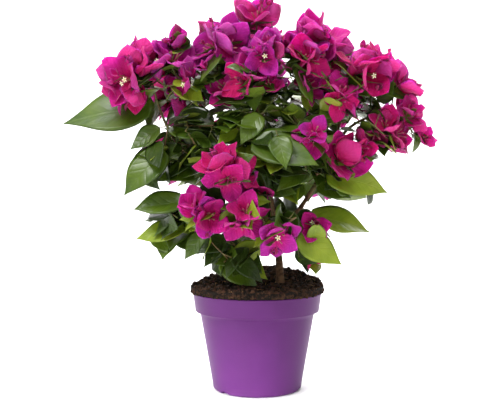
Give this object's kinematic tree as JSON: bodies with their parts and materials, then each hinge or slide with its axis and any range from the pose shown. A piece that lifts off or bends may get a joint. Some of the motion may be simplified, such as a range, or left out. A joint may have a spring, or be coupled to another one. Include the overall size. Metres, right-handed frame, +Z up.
{
  "type": "potted bougainvillea bush",
  "caption": "Bushy flowering shrub with magenta papery bracts, heart-shaped green leaves and a short woody trunk, in a round purple nursery pot.",
  "frame": {"origin": "middle of the pot's flat underside, which stands on the surface", "axes": "+Z up, -Y towards the front of the plant, +X to the right seen from the front"},
  "size_m": [0.481, 0.2377, 0.5062],
  "materials": {
    "pot": "satin moulded purple plastic",
    "soil": "rough damp compost with fibres",
    "bark": "rough brown bark",
    "leaf": "soft sheen living leaf",
    "bract": "thin papery bract"
  },
  "bodies": {
    "root": {"pot": "pot", "soil": "soil", "trunk": "bark", "left_limb": "bark", "right_limb": "bark", "back_limb": "bark", "centre_limb": "bark", "front_limb": "bark", "left_blossom_bough": "bark", "top_blossom_bough": "bark", "right_blossom_bough": "bark", "far_right_blossom_bough": "bark", "front_blossom_bough": "bark", "low_right_spray_bough": "bark", "left_foliage_bough": "bark", "low_left_foliage_bough": "bark", "heart_foliage_bough": "bark", "right_foliage_bough": "bark", "low_foliage_bough": "bark", "back_left_crown_bough": "bark", "back_top_crown_bough": "bark", "back_right_crown_bough": "bark", "low_back_foliage_bough": "bark", "left_foliage": "leaf", "low_left_foliage": "leaf", "heart_foliage": "leaf", "right_foliage": "leaf", "low_foliage": "leaf", "low_back_foliage": "leaf", "left_blossom": "bract", "top_blossom": "bract", "right_blossom": "bract", "far_right_blossom": "bract", "front_blossom": "bract", "low_right_spray": "bract", "back_left_crown": "bract", "back_top_crown": "bract", "back_right_crown": "bract"}
  },
  "joints": []
}
